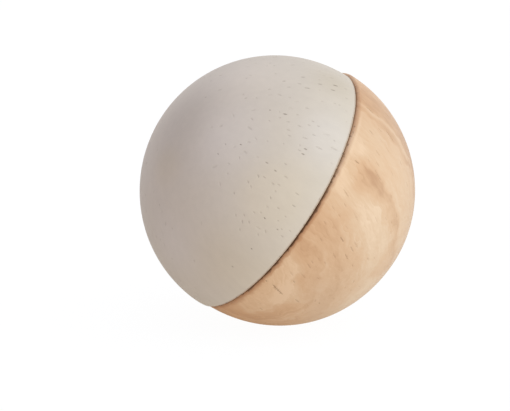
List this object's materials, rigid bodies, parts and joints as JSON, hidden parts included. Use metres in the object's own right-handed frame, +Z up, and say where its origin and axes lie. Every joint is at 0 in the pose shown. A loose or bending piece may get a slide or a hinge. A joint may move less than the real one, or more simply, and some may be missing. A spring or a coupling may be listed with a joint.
{
  "type": "croquet ball",
  "caption": "Round wooden croquet ball in two tones: a grey painted half and a natural wood half, joined face to face on a hidden glued dowel.",
  "frame": {"origin": "centre of the ball, midway between the centres of its two domes", "axes": "+Z up as the ball lies on the ground, with its turning axis in the XZ plane and the painted half towards -X and +Z; Y lies in the joint"},
  "size_m": [0.0938, 0.092, 0.092],
  "materials": {
    "painted_wood": "turned hardwood under the paint",
    "natural_wood": "sanded hardwood with a satin clear finish",
    "dowel_wood": "plain fluted dowel stock",
    "glue": "cured wood glue",
    "paint": "satin warm grey paint with the wood's pores showing through"
  },
  "bodies": {
    "root": {"painted_half": "painted_wood", "natural_half": "natural_wood", "dowel": "dowel_wood", "glue_line": "glue", "paint_coat": "paint"}
  },
  "joints": []
}
